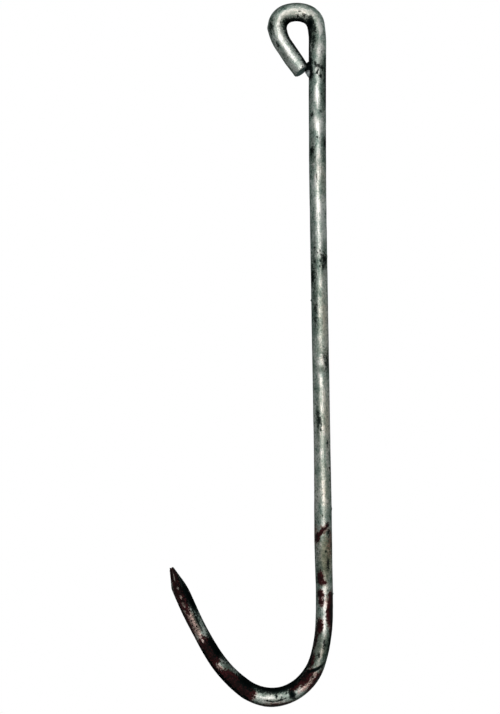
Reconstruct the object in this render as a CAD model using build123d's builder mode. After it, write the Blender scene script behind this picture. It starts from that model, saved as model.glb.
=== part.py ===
"""Meat hook: one length of round steel bar, bent to an eye at the top and an open hook at the bottom.

The bar runs from its cut end round the eye, down the shank and round the hook to the ground point.
A tack weld closes the eye: it joins the bar's cut end to the shank.

Frame: millimetres, +Z up, as the hook hangs. The origin is the seat at the top of the inside of the
eye, where the hook bears on what carries it. The hook lies in the XZ plane, with the shank on the +X
side of the eye and the point on the -X side, and its thickness is centred on Y = 0.
"""

from build123d import *
import os

# ---- driving dimensions, in millimetres and degrees; a former's radius is a bend's inside radius ----

BAR_DIAMETER = 10.0

# The front of the eye, from its crown round to the cut end.
CROWN_FORMER = 11.0
CROWN_TO_SIDE_TURN = 20.0
SIDE_FORMER = 4.0
SIDE_TURN = 83.0
LEG_FORMER = 20.5
LEG_TURN = 21.5
EYE_END_GAP = 0.2  # from the corner of the cut end to the shank
CUT_END_CHAMFER = 0.5

# The back of the eye, from its crown into the shank. Its three turns add up to 90 degrees.
CROWN_TO_BACK_TURN = 22.0
BACK_FORMER = 4.1
BACK_TURN = 58.0
RUN_IN_FORMER = 56.0

# The shank is very slightly bowed.
UPPER_SHANK_RUN = 60.0
SHANK_BOW_RADIUS = 2000.0
SHANK_BOW_TURN = 0.9
LOWER_SHANK_RUN = 244.0

# The hook, from the shank to the point.
HEEL_FORMER = 101.0
HEEL_TURN = 18.5
BELLY_FORMER = 22.8
BELLY_TURN = 110.0
THROAT_FORMER = 70.6
THROAT_TURN = 20.5
NOSE_FORMER = 245.0
NOSE_TURN = 9.5
POINT_RUN = 15.5

# The leg is drawn down from the throat to the point. The ground point leans, so that it is ground
# further back on the inside of the hook than on the outside.
DRAWN_DIAMETER = 9.0
POINT_HALF_ANGLE = 16.0  # at the tip
POINT_SIDE_RADIUS = 150.0
POINT_SIDE_TURN = 9.0
POINT_LEAN = 1.8
POINT_OFFSET = 0.2  # to the outside
TIP_DIAMETER = 2.4
TIP_SET_BACK = 0.3  # from the end of the drawn leg
TIP_FILLET = 0.5

# The tack weld fills the notch between the cut end and the shank, above and below the corner of the
# cut end.
WELD_HEIGHT = 9.6
WELD_THICKNESS = 4.6
WELD_ACROSS_BAR = 6.8
WELD_FILLET = 1.8
WELD_DROP = 2.1  # its middle below the corner of the cut end

# ---- worked out from them ----

bar_radius = BAR_DIAMETER / 2
drawn_radius = DRAWN_DIAMETER / 2
tip_radius = TIP_DIAMETER / 2
side_plane = Plane.XZ


def bend(before, former, turn):
    """An arc that carries the line before it round a former. A positive turn is anticlockwise from -Y."""
    return JernArc(before @ 1, before % 1, former + bar_radius, turn)


def run(before, length):
    """A straight run that carries on the line before it."""
    return Line(before @ 1, before @ 1 + (before % 1) * length)


def round_section(line, place, radius):
    """The bar's round section, square to a line at its start, place 0, or at its end, place 1."""
    with BuildSketch(Plane(line @ place, z_dir=line % place)) as section:
        Circle(radius)
    return section.sketch


# ---- the bar's centre line ----

with BuildLine(side_plane) as shank_line:
    crown_back = JernArc((0, bar_radius), (1, 0), CROWN_FORMER + bar_radius, -CROWN_TO_BACK_TURN)
    back = bend(crown_back, BACK_FORMER, -BACK_TURN)
    run_in = bend(back, RUN_IN_FORMER, CROWN_TO_BACK_TURN + BACK_TURN - 90)
    upper_shank = run(run_in, UPPER_SHANK_RUN)
    shank_bow = JernArc(upper_shank @ 1, upper_shank % 1, SHANK_BOW_RADIUS, SHANK_BOW_TURN)
    lower_shank = run(shank_bow, LOWER_SHANK_RUN)

with BuildLine(side_plane) as hook_line:
    heel = bend(lower_shank, HEEL_FORMER, -HEEL_TURN)
    belly = bend(heel, BELLY_FORMER, -BELLY_TURN)

with BuildLine(side_plane) as drawn_line:
    throat = bend(belly, THROAT_FORMER, -THROAT_TURN)
    nose = bend(throat, NOSE_FORMER, -NOSE_TURN)
    point_run = run(nose, POINT_RUN)

# The eye's leg runs on until the corner of its cut end is the gap away from the shank.
with BuildLine(side_plane) as eye_line:
    crown_side = JernArc((0, bar_radius), (-1, 0), CROWN_FORMER + bar_radius, CROWN_TO_SIDE_TURN)
    side = bend(crown_side, SIDE_FORMER, SIDE_TURN)
    leg_bend = bend(side, LEG_FORMER, LEG_TURN)
    leg_heading = leg_bend % 1
    to_corner = Vector(-leg_heading.Z, 0, leg_heading.X) * bar_radius
    corner_x = (run_in @ 1).X - bar_radius - EYE_END_GAP
    leg = run(leg_bend, (corner_x - to_corner.X - (leg_bend @ 1).X) / leg_heading.X)

cut_corner = leg @ 1 + to_corner
tip_heading = point_run % 1
to_outside = Vector(-tip_heading.Z, 0, tip_heading.X)

# ---- the bar ----

with BuildPart() as hook_bar:
    sweep(round_section(crown_side, 0, bar_radius), path=eye_line.line)
    cut_face = hook_bar.faces().filter_by(GeomType.PLANE).sort_by_distance(leg @ 1)[0]
    chamfer(cut_face.edges(), CUT_END_CHAMFER)
    sweep(round_section(crown_back, 0, bar_radius), path=shank_line.line)
    sweep(round_section(heel, 0, bar_radius), path=hook_line.line)
    leg_sections = [round_section(throat, 0, bar_radius), round_section(point_run, 1, drawn_radius)]
    sweep(leg_sections, path=drawn_line.line, multisection=True)

    # Grinding takes off all that lies outside the point's sides: here x is out from the point's axis
    # and y is back from its tip.
    tip_middle = point_run @ 1 - tip_heading * TIP_SET_BACK + to_outside * POINT_OFFSET
    point_plane = Plane(tip_middle, x_dir=to_outside.rotate(Axis.Y, POINT_LEAN), z_dir=side_plane.z_dir)
    with BuildSketch(point_plane) as ground_off:
        with BuildLine():
            start_heading = Vector(0, 1).rotate(Axis.Z, -POINT_HALF_ANGLE)
            ground_side = JernArc((tip_radius, 0), start_heading, POINT_SIDE_RADIUS, POINT_SIDE_TURN)
            ground_end = ground_side @ 1
            clear_of_bar = ground_end.X + bar_radius
            Polyline(
                (ground_end.X, ground_end.Y),
                (clear_of_bar, ground_end.Y),
                (clear_of_bar, -bar_radius),
                (0, -bar_radius),
                (0, 0),
                (tip_radius, 0),
            )
        make_face()
    revolve(axis=Axis(tip_middle, point_plane.y_dir), mode=Mode.SUBTRACT)
    tip_face = hook_bar.faces().filter_by(GeomType.PLANE).sort_by_distance(tip_middle)[0]
    fillet(tip_face.edges(), TIP_FILLET)

# ---- the tack weld ----

with BuildPart() as eye_weld:
    weld_middle = cut_corner + Vector(EYE_END_GAP / 2, 0, -WELD_DROP)
    with BuildSketch(Plane(weld_middle, x_dir=side_plane.x_dir, z_dir=side_plane.z_dir)):
        SlotOverall(WELD_HEIGHT, WELD_THICKNESS, rotation=90)
    extrude(amount=WELD_ACROSS_BAR / 2, both=True)
    ends = eye_weld.faces().filter_by(Axis.Y)
    fillet(ends.edges(), WELD_FILLET)
    add(hook_bar.part, mode=Mode.SUBTRACT)

hook_bar.part.label = "hook_bar"
eye_weld.part.label = "eye_weld"

os.makedirs("parts", exist_ok=True)
export_step(hook_bar.part, "parts/hook_bar.step")
export_step(eye_weld.part, "parts/eye_weld.step")
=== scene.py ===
"""Meat hook: the looks of a worn butcher's hook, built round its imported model.

Objects are in metres, in the model's own frame: +Z up, as the hook hangs, the origin at the seat at
the top of the inside of the eye, and the bar's thickness centred on Y = 0. Places along the bar are
in millimetres from the crown of the eye, plus down the shank and minus towards the cut end.
"""

from __future__ import annotations

import logging
import math
from dataclasses import dataclass, field, replace
from enum import Enum
from typing import NamedTuple

import bpy
import numpy as np
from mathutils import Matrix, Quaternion, Vector, noise


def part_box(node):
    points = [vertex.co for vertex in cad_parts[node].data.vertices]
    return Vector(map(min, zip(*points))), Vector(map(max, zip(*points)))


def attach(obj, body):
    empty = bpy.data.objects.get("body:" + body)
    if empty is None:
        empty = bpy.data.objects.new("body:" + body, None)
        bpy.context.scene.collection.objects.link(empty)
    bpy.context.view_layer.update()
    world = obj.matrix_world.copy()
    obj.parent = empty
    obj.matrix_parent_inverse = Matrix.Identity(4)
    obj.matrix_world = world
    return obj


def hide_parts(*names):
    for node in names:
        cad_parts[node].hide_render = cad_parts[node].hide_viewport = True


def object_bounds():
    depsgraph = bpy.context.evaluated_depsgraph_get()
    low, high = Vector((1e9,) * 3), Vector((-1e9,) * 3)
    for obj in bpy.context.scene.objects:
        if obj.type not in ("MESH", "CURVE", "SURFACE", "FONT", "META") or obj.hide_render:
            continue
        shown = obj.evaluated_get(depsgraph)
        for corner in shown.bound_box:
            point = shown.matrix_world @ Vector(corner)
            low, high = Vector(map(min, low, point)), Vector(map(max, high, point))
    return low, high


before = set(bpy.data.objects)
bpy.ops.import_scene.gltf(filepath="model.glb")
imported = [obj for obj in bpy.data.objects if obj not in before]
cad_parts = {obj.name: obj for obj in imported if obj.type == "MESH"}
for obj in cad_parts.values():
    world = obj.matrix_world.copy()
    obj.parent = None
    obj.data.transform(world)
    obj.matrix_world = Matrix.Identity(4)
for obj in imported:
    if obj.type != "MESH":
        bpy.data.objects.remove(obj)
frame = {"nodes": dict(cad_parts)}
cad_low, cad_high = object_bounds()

MM = 0.001
FRONT_Y = -1.0
BUMP_HEIGHT = 0.12
LOG = logging.getLogger("meat_hook")


def put_in_scene(name: str, data: bpy.types.ID) -> bpy.types.Object:
    """Makes an object and links it to the scene.

    Args:
        name: the object's name.
        data: its mesh, lamp or camera.

    Returns:
        The object.
    """
    made = bpy.data.objects.new(name, data)
    bpy.context.scene.collection.objects.link(made)
    return made


def write_attribute(mesh: bpy.types.Mesh, name: str, values: np.ndarray) -> None:
    """Writes a number or a place on each of a mesh's points.

    Args:
        mesh: the mesh.
        name: the attribute's name.
        values: a number for each point, or a row of three.
    """
    kind, key = ("FLOAT_VECTOR", "vector") if values.ndim == 2 else ("FLOAT", "value")
    made = mesh.attributes.new(name, kind, "POINT")
    made.data.foreach_set(key, values.astype(np.float32).ravel())


# ---------------------------------------------------------------- the bar's centre line


@dataclass(frozen=True)
class Bend:
    """A bend round a former: its inside radius in millimetres and its turn in degrees, plus to the left."""

    former: float
    turn: float


@dataclass(frozen=True)
class Run:
    """A straight run, in millimetres."""

    length: float


@dataclass
class BarRoute:
    """The bends and runs of the bar's centre line, in millimetres and degrees."""

    bar_diameter: float = 10.0
    crown_former: float = 11.0
    crown_to_side_turn: float = 20.0
    side_former: float = 4.0
    side_turn: float = 83.0
    leg_former: float = 20.5
    leg_turn: float = 21.5
    leg_run: float = 18.5
    crown_to_back_turn: float = 22.0
    back_former: float = 4.1
    back_turn: float = 58.0
    run_in_former: float = 56.0
    run_in_turn: float = 10.0
    upper_shank_run: float = 60.0
    shank_bow_radius: float = 2000.0
    shank_bow_turn: float = 0.9
    lower_shank_run: float = 244.0
    heel_former: float = 101.0
    heel_turn: float = 18.5
    belly_former: float = 22.8
    belly_turn: float = 110.0
    throat_former: float = 70.6
    throat_turn: float = 20.5
    nose_former: float = 245.0
    nose_turn: float = 9.5
    point_run: float = 15.5
    trace_step: float = 0.05
    trace: np.ndarray = field(init=False)

    def __post_init__(self) -> None:
        """Traces the whole centre line once."""
        to_cut_end = self._walk(
            [
                Bend(self.crown_former, self.crown_to_side_turn),
                Bend(self.side_former, self.side_turn),
                Bend(self.leg_former, self.leg_turn),
                Run(self.leg_run),
            ],
            heading=math.pi,
        )
        down = self._walk(
            [
                Bend(self.crown_former, -self.crown_to_back_turn),
                Bend(self.back_former, -self.back_turn),
                Bend(self.run_in_former, -self.run_in_turn),
                Run(self.upper_shank_run),
                Bend(self.shank_bow_radius - self.bar_diameter / 2, self.shank_bow_turn),
                Run(self.lower_shank_run),
                Bend(self.heel_former, -self.heel_turn),
                Bend(self.belly_former, -self.belly_turn),
                Bend(self.throat_former, -self.throat_turn),
                Bend(self.nose_former, -self.nose_turn),
                Run(self.point_run),
            ],
            heading=0.0,
        )
        front = to_cut_end[::-1].copy()
        front[:, 0] *= -1
        front[:, 3] += math.pi
        front[:, 3] -= 2 * math.pi * np.round((front[-1, 3] - down[0, 3]) / (2 * math.pi))
        self.trace = np.vstack([front[:-1], down])

    def _walk(self, steps: list[Bend | Run], heading: float) -> np.ndarray:
        """Walks the steps from the crown.

        Args:
            steps: the bends and runs, in order.
            heading: the first direction, in radians from +X towards +Z.

        Returns:
            Rows of place, x, z and heading, in millimetres and radians.
        """
        place, x, z = 0.0, 0.0, self.bar_diameter / 2
        rows = [(place, x, z, heading)]
        for step in steps:
            if isinstance(step, Run):
                length, turn = step.length, 0.0
            else:
                turn = math.radians(step.turn)
                length = abs(turn) * (step.former + self.bar_diameter / 2)
            parts = max(1, math.ceil(length / self.trace_step))
            for _ in range(parts):
                middle = heading + turn / parts / 2
                x += math.cos(middle) * length / parts
                z += math.sin(middle) * length / parts
                heading += turn / parts
                place += length / parts
                rows.append((place, x, z, heading))
        return np.array(rows)

    @property
    def cut_end(self) -> float:
        """The place of the cut end."""
        return float(self.trace[0, 0])

    @property
    def tip(self) -> float:
        """The place of the point's tip."""
        return float(self.trace[-1, 0])

    def at(self, places: np.ndarray) -> tuple[np.ndarray, np.ndarray]:
        """The centre line at some places.

        Args:
            places: places along the bar.

        Returns:
            The points, as x and z, and the headings.
        """
        x, z, heading = (np.interp(places, self.trace[:, 0], self.trace[:, k]) for k in (1, 2, 3))
        return np.stack([x, z], axis=1), heading


# ---------------------------------------------------------------- the bar's shape


@dataclass(frozen=True)
class Girth:
    """The bar's outer and inner half widths, seen from the front, as measured at one place."""

    place: float
    outer: float
    inner: float


@dataclass(frozen=True)
class GroundFlat:
    """One flat that grinding left on the point.

    Angles go round the bar in degrees, 0 at the front, 90 on the outside of the hook and 270 on its inside.
    """

    angle: float
    reach: float
    at_tip: float


@dataclass(frozen=True)
class Burr:
    """A small lump that stands out of the bar."""

    place: float
    angle: float
    height: float
    reach: float


@dataclass(frozen=True)
class Nick:
    """One wave of the tip's broken end: its depth in millimetres, its count in a turn and its start."""

    depth: float
    waves: int
    start: float


@dataclass(frozen=True)
class Ripple:
    """Cloudy unevenness: its height, and its sizes along and round the bar, in millimetres."""

    height: float
    along: float
    round: float
    offset: float = 0.0

    def at(self, place: float, u: float, v: float) -> float:
        """The noise at one point of the straightened bar, about -1 to 1, before its height."""
        return noise.noise(Vector((place / self.along + self.offset, u / self.round, v / self.round)))


class Mark(Enum):
    """The kinds of mark on the bar: stains and wear that age and use left, and painted highlights, glints
    and shade.
    """

    GRIME = "grime"
    BLOOD = "blood"
    FILM = "film"
    PAINTED_HIGHLIGHT = "bright"
    DULL = "dull"
    SHADE = "shade"
    TALLOW = "tallow"
    PAINTED_GLINT = "painted_glint"


class Side(Enum):
    """Which side of the hook a mark is on."""

    FRONT = 0
    BACK = 1


@dataclass(frozen=True)
class Patch:
    """One mark, as an oval on the bar's surface, in millimetres.

    across is how far it lies from the bar's middle, from -1 on the inside of the hook to 1 on its
    outside. length and width are half sizes, along and round the bar. slant turns the oval, in degrees.
    firm is how well the oval's middle holds against its ragged edge.
    """

    name: str
    mark: Mark
    place: float
    across: float
    length: float
    width: float
    slant: float = 0.0
    firm: float = 1.0
    side: Side = Side.FRONT

    def angle(self) -> float:
        """The patch's angle round the bar, in radians."""
        front = math.asin(max(-1.0, min(1.0, self.across)))
        return front if self.side is Side.FRONT else math.pi - front


@dataclass
class HookBar:
    """The bar, from its cut end to its point, with its wear, its stains and its painted highlights, glints
    and shade.
    """

    route: BarRoute
    name: str = "hook_bar_worn"
    around: int = 72
    ring_step: float = 0.438
    cut_chamfer: float = 0.6
    cut_slant: float = 4.8
    cut_slant_reach: float = 3.0
    drawn_half_depth: float = 4.6
    drawing_start: float = 425.0
    drawing_length: float = 60.0
    flat_clearance: float = 0.15
    least_facing: float = 0.05
    tip_wear_reach: float = 1.6
    tip_set_back: float = 0.8
    tip_nicks: tuple[Nick, ...] = (Nick(0.45, 3, 0.6), Nick(0.3, 5, 2.0))
    end_rings: tuple[float, ...] = (0.88, 0.72, 0.52, 0.3)
    girth_blur: float = 2.5
    dents: Ripple = Ripple(0.075, 11.0, 5.5)
    waves: Ripple = Ripple(0.022, 3.2, 2.0, 40.0)
    pits: Ripple = Ripple(0.09, 0.9, 0.8, 90.0)
    pit_threshold: float = 0.42
    crust: Ripple = Ripple(0.05, 1.1, 1.1, 7.0)
    crust_margin: float = 0.6
    crust_build_up: float = 0.6
    etch_depth: float = 0.04
    etch_margin: float = 0.3
    etch_evenness: float = 0.5
    burr_fall: float = 2.5
    stain_limit: float = 4.0
    least_peak: float = 1.5
    end_flank: float = 0.5
    tip_blood: float = 1.0
    girths: tuple[Girth, ...] = (
        Girth(-46.7, 4.9, 5.0),
        Girth(-42, 5.1, 5.35),
        Girth(-36, 5.6, 5.35),
        Girth(-30, 5.1, 5.35),
        Girth(-24, 5.4, 5.3),
        Girth(-18, 5.65, 5.6),
        Girth(-13, 6.15, 5.6),
        Girth(-9, 5.75, 5.5),
        Girth(-3, 5.3, 5.1),
        Girth(6, 5.35, 5.25),
        Girth(12, 5.45, 5.5),
        Girth(18, 5.1, 5.2),
        Girth(36, 5.1, 5.35),
        Girth(60, 5.0, 5.3),
        Girth(100, 5.1, 5.1),
        Girth(130, 4.9, 5.05),
        Girth(200, 5.0, 5.0),
        Girth(270, 5.1, 4.85),
        Girth(294, 5.2, 5.05),
        Girth(306, 5.25, 5.25),
        Girth(320, 5.2, 5.45),
        Girth(335, 5.1, 5.3),
        Girth(350, 5.25, 4.95),
        Girth(366, 5.0, 5.2),
        Girth(384, 5.4, 4.75),
        Girth(392, 5.4, 4.6),
        Girth(404, 5.3, 5.3),
        Girth(414, 5.5, 5.1),
        Girth(424, 5.95, 4.7),
        Girth(432, 6.35, 4.8),
        Girth(440, 5.85, 4.95),
        Girth(450, 5.55, 5.1),
        Girth(462, 5.3, 4.65),
        Girth(478, 5.0, 4.55),
        Girth(492, 4.6, 4.45),
        Girth(508, 4.7, 4.85),
        Girth(533, 4.8, 4.7),
    )
    flats: tuple[GroundFlat, ...] = (
        GroundFlat(90, 12.6, 1.05),
        GroundFlat(268, 15.5, 1.0),
        GroundFlat(280, 21.0, 1.9),
        GroundFlat(18, 16.5, 1.1),
        GroundFlat(332, 19.0, 1.3),
        GroundFlat(48, 13.0, 1.3),
        GroundFlat(140, 14.5, 1.2),
        GroundFlat(178, 17.5, 1.15),
        GroundFlat(222, 18.5, 1.35),
    )
    burrs: tuple[Burr, ...] = (
        Burr(178.8, 270, 0.55, 0.7),
        Burr(353.6, 90, 0.4, 0.9),
        Burr(-16.6, 92, 0.35, 1.6),
        Burr(153.0, 91, 0.2, 1.2),
        Burr(303.0, 88, 0.25, 1.5),
        Burr(531.0, 90, 0.2, 0.7),
    )
    patches: tuple[Patch, ...] = ()
    places: np.ndarray = field(init=False)
    angles: np.ndarray = field(init=False)

    def build(self) -> bpy.types.Object:
        """Builds the bar's mesh, with its marks as attributes.

        Returns:
            The bar's object.
        """
        rings = int(round((self.route.tip - self.route.cut_end) / self.ring_step)) + 1
        self.places = np.linspace(self.route.cut_end, self.route.tip, rings)
        self.angles = np.arange(self.around) * 2 * math.pi / self.around
        levels = self._mark_levels()
        lift = self._relief(levels)
        points, flow = self._skin(lift)
        faces = self._side_faces(rings)
        points, flow, faces, cut_faces = self._close_ends(points, flow, faces, rings)
        mesh = bpy.data.meshes.new(self.name)
        mesh.from_pydata((points * MM).tolist(), [], faces)
        mesh.update()
        self._write_attributes(mesh, flow, levels)
        self._write_map(mesh, rings)
        for polygon in mesh.polygons:
            polygon.use_smooth = True
            polygon.material_index = 1 if polygon.index in cut_faces else 0
        return put_in_scene(self.name, mesh)

    def _half_widths(self) -> tuple[np.ndarray, np.ndarray]:
        """Blurs the measured half widths, so that no ring stands out.

        Returns:
            The outer and the inner half width at each ring.
        """
        at = [g.place for g in self.girths]
        reach = int(3 * self.girth_blur / self.ring_step)
        bell = np.exp(-0.5 * (np.arange(-reach, reach + 1) * self.ring_step / self.girth_blur) ** 2)
        bell /= bell.sum()
        sides = []
        for values in ([g.outer for g in self.girths], [g.inner for g in self.girths]):
            plain = np.interp(self.places, at, values)
            padded = np.pad(plain, reach, mode="edge")
            sides.append(np.convolve(padded, bell, mode="valid"))
        return sides[0], sides[1]

    def _skin(self, lift: np.ndarray) -> tuple[np.ndarray, np.ndarray]:
        """Places every ring's points.

        Args:
            lift: how far each point stands out of the plain bar.

        Returns:
            The points, and the same points as if the bar were straight, which the finishes are laid on.
        """
        outer, inner = self._half_widths()
        radius = self.route.bar_diameter / 2
        drawing = np.clip((self.places - self.drawing_start) / self.drawing_length, 0, 1)
        depth = radius + (self.drawn_half_depth - radius) * drawing * drawing * (3 - 2 * drawing)
        sine, cosine = np.sin(self.angles)[None, :], np.cos(self.angles)[None, :]
        side = np.where(sine >= 0, outer[:, None], inner[:, None])
        reach = 1 / np.sqrt((sine / side) ** 2 + (cosine / depth[:, None]) ** 2)
        reach = self._grind(reach) - self._chamfer()[:, None] + lift
        centre, heading = self.route.at(self.places)
        normal_x, normal_z = -np.sin(heading)[:, None], np.cos(heading)[:, None]
        x = centre[:, 0:1] + reach * sine * normal_x
        y = FRONT_Y * reach * cosine
        z = centre[:, 1:2] + reach * sine * normal_z
        shift = self._ragged_tip() + self._slanted_cut(y)
        x = x + shift * np.cos(heading)[:, None]
        z = z + shift * np.sin(heading)[:, None]
        points = np.stack([x, y, z], axis=2).reshape(-1, 3)
        along = np.repeat(self.places[:, None], self.around, axis=1)
        flow = np.stack([along, radius * sine + 0 * along, radius * cosine + 0 * along], axis=2)
        return points, flow.reshape(-1, 3)

    def _grind(self, reach: np.ndarray) -> np.ndarray:
        """Cuts the point's flats into the bar.

        Args:
            reach: how far the plain bar's surface lies from its centre line.

        Returns:
            The reach that is left.
        """
        back = (self.route.tip - self.places)[:, None]
        full = self.drawn_half_depth + self.flat_clearance
        for flat in self.flats:
            plane = flat.at_tip + (full - flat.at_tip) * back / flat.reach
            facing = np.cos(self.angles - math.radians(flat.angle))[None, :]
            towards = np.maximum(facing, self.least_facing)
            cut = np.where(facing > self.least_facing, plane / towards, np.inf)
            reach = np.minimum(reach, cut)
        return reach

    def _chamfer(self) -> np.ndarray:
        """Rounds the cut end's corner.

        Returns:
            How far each ring is pulled in.
        """
        back = self.places - self.route.cut_end
        share = np.clip(1 - back / self.cut_chamfer, 0, 1)
        return self.cut_chamfer * (1 - np.sqrt(1 - share * share))

    def _slanted_cut(self, y: np.ndarray) -> np.ndarray:
        """Slants the cut end, as a shear leaves it.

        Args:
            y: how far to the back each point lies.

        Returns:
            How far each point moves along the bar.
        """
        back = (self.places - self.route.cut_end)[:, None]
        share = np.clip(1 - back / self.cut_slant_reach, 0, 1)
        return -y * math.tan(math.radians(self.cut_slant)) * share

    def _ragged_tip(self) -> np.ndarray:
        """Breaks the worn tip's last millimetre back.

        Returns:
            How far each point moves along the bar.
        """
        back = (self.route.tip - self.places)[:, None]
        waves = sum(n.depth * np.cos(n.waves * self.angles + n.start) for n in self.tip_nicks)
        shift = waves - self.tip_set_back
        return shift[None, :] * np.clip(1 - back / self.tip_wear_reach, 0, 1)

    def _relief(self, levels: dict[Mark, np.ndarray]) -> np.ndarray:
        """The small unevenness of old bar: dents, rolled-in scale, pits, crusts and burrs.

        Args:
            levels: each mark's level at each point.

        Returns:
            The lift at each point, by ring and angle.
        """
        radius = self.route.bar_diameter / 2
        lift = np.zeros((len(self.places), self.around))
        grime, blood = levels[Mark.GRIME], levels[Mark.BLOOD]
        ring = [(radius * math.sin(a), radius * math.cos(a)) for a in self.angles]
        for row, place in enumerate(self.places):
            for column, (u, v) in enumerate(ring):
                pit = self.pits.at(place, u, v)
                height = self.dents.height * self.dents.at(place, u, v)
                height += self.waves.height * self.waves.at(place, u, v)
                height -= self.pits.height * max(0.0, pit - self.pit_threshold)
                crusted = min(1.0, blood[row, column] + self.crust_margin)
                if crusted > 0:
                    thickness = self.crust_build_up + self.crust.at(place, u, v)
                    height += self.crust.height * thickness * crusted
                etched = min(1.0, grime[row, column] + self.etch_margin)
                if etched > 0:
                    height -= self.etch_depth * (self.etch_evenness + pit) * etched
                lift[row, column] = height
        for burr in self.burrs:
            along = (self.places - burr.place)[:, None]
            turn = np.angle(np.exp(1j * (self.angles - math.radians(burr.angle))))[None, :] * radius
            lift += burr.height * np.exp(-(along**2 + turn**2) / burr.reach**2 * self.burr_fall)
        return lift

    def _mark_levels(self) -> dict[Mark, np.ndarray]:
        """Works out how far inside its nearest patch's edge each point is, for each kind of mark.

        Returns:
            Each mark's level at each point, in millimetres, minus outside the patches.
        """
        radius = self.route.bar_diameter / 2
        levels = {
            mark: np.full((len(self.places), self.around), -self.stain_limit) for mark in Mark
        }
        for patch in self.patches:
            along = (self.places - patch.place)[:, None]
            turn = np.angle(np.exp(1j * (self.angles - patch.angle())))[None, :] * radius
            lean = math.radians(patch.slant)
            u = along * math.cos(lean) + turn * math.sin(lean)
            v = turn * math.cos(lean) - along * math.sin(lean)
            oval = np.sqrt((u / patch.length) ** 2 + (v / patch.width) ** 2)
            peak = max(min(patch.length, patch.width), self.least_peak) * patch.firm
            level = np.clip((1 - oval) * peak, -self.stain_limit, self.stain_limit)
            levels[patch.mark] = np.maximum(levels[patch.mark], level)
        return levels

    def _side_faces(self, rings: int) -> list[tuple[int, ...]]:
        """Joins the rings.

        Args:
            rings: how many rings there are.

        Returns:
            The four-sided faces between them.
        """
        n = self.around
        return [
            (r * n + k, (r + 1) * n + k, (r + 1) * n + (k + 1) % n, r * n + (k + 1) % n)
            for r in range(rings - 1)
            for k in range(n)
        ]

    def _close_ends(
        self, points: np.ndarray, flow: np.ndarray, faces: list[tuple[int, ...]], rings: int
    ) -> tuple[np.ndarray, np.ndarray, list[tuple[int, ...]], set[int]]:
        """Closes the cut end and the tip with rings that shrink to a middle point.

        Args:
            points: the side's points.
            flow: the side's straightened points.
            faces: the side's faces, which the ends' faces are added to.
            rings: how many rings the side has.

        Returns:
            The points, the straightened points, the faces, and the indices of the cut end's faces.
        """
        n = self.around
        cut_faces: set[int] = set()
        for first_ring, outward in ((0, -1.0), (rings - 1, 1.0)):
            rim = points[first_ring * n : (first_ring + 1) * n]
            rim_flow = flow[first_ring * n : (first_ring + 1) * n]
            middle, middle_flow = rim.mean(axis=0), rim_flow.mean(axis=0)
            last = np.arange(first_ring * n, (first_ring + 1) * n)
            for share in self.end_rings:
                start = len(points)
                points = np.vstack([points, middle + (rim - middle) * share])
                flow = np.vstack([flow, middle_flow + (rim_flow - middle_flow) * share])
                made = np.arange(start, start + n)
                for k in range(n):
                    a, b = last[k], last[(k + 1) % n]
                    c, d = made[(k + 1) % n], made[k]
                    if outward < 0:
                        cut_faces.add(len(faces))
                        faces.append((a, b, c, d))
                    else:
                        faces.append((d, c, b, a))
                last = made
            points = np.vstack([points, middle])
            flow = np.vstack([flow, middle_flow])
            centre = len(points) - 1
            for k in range(n):
                a, b = last[k], last[(k + 1) % n]
                if outward < 0:
                    cut_faces.add(len(faces))
                    faces.append((a, b, centre))
                else:
                    faces.append((centre, b, a))
        return points, flow, [tuple(int(i) for i in f) for f in faces], cut_faces

    def _write_attributes(
        self, mesh: bpy.types.Mesh, flow: np.ndarray, levels: dict[Mark, np.ndarray]
    ) -> None:
        """Writes the straightened places, the flanks and the marks' levels on the mesh's points.

        Args:
            mesh: the bar's mesh.
            flow: the straightened points, in millimetres.
            levels: each mark's level on the side's points.
        """
        write_attribute(mesh, "bar_flow", flow)
        extra = len(mesh.vertices) - len(self.places) * self.around
        flank = np.abs(np.sin(self.angles))[None, :].repeat(len(self.places), axis=0).ravel()
        write_attribute(mesh, "flank", np.concatenate([flank, np.full(extra, self.end_flank)]))
        for mark, level in levels.items():
            ends = np.full(extra, -self.stain_limit)
            if mark is Mark.BLOOD:
                ends[extra // 2 :] = self.tip_blood
            write_attribute(mesh, mark.value, np.concatenate([level.ravel(), ends]))

    def _write_map(self, mesh: bpy.types.Mesh, rings: int) -> None:
        """Unrolls the bar's side into strips, one above the other, with the two ends beside them.

        Args:
            mesh: the bar's mesh.
            rings: how many rings the side has.
        """
        strips, gap = 4, 1.0
        first_end, next_end = 0.8, 1.4
        end_spacing = self.route.bar_diameter
        girth = math.pi * end_spacing
        per_strip = math.ceil((rings - 1) / strips)
        width = per_strip * self.ring_step
        size = max(width, strips * (girth + gap) + end_spacing + 2 * gap) + 2 * gap
        layer = mesh.uv_layers.new(name="OFBake")
        flow = mesh.attributes["bar_flow"].data
        side_faces = (rings - 1) * self.around
        end_faces = (len(mesh.polygons) - side_faces) // 2
        uv = np.zeros((len(mesh.loops), 2), np.float32)
        for polygon in mesh.polygons:
            if polygon.index < side_faces:
                ring, column = divmod(polygon.index, self.around)
                strip, row = divmod(ring, per_strip)
                corners = ((0, 0), (1, 0), (1, 1), (0, 1))
                for loop, (du, dv) in zip(polygon.loop_indices, corners, strict=True):
                    uv[loop] = (
                        gap + (row + du) * self.ring_step,
                        gap + strip * (girth + gap) + (column + dv) * girth / self.around,
                    )
            else:
                far = (polygon.index - side_faces) // end_faces
                middle = (end_spacing * (first_end + next_end * far), size - gap - end_spacing / 2)
                for loop in polygon.loop_indices:
                    place = flow[mesh.loops[loop].vertex_index].vector
                    uv[loop] = (middle[0] + place[1], middle[1] + place[2])
        layer.data.foreach_set("uv", (uv / size).ravel())

    def dress(self, bar: bpy.types.Object, finishes: list[bpy.types.Material]) -> None:
        """Gives the bar its materials and ties it to the model.

        Args:
            bar: the bar's object.
            finishes: the worn steel and the cut end's steel.
        """
        for finish in finishes:
            bar.data.materials.append(finish)
        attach(bar, "root")
        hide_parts("hook_bar")


# ---------------------------------------------------------------- the tack weld


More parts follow.
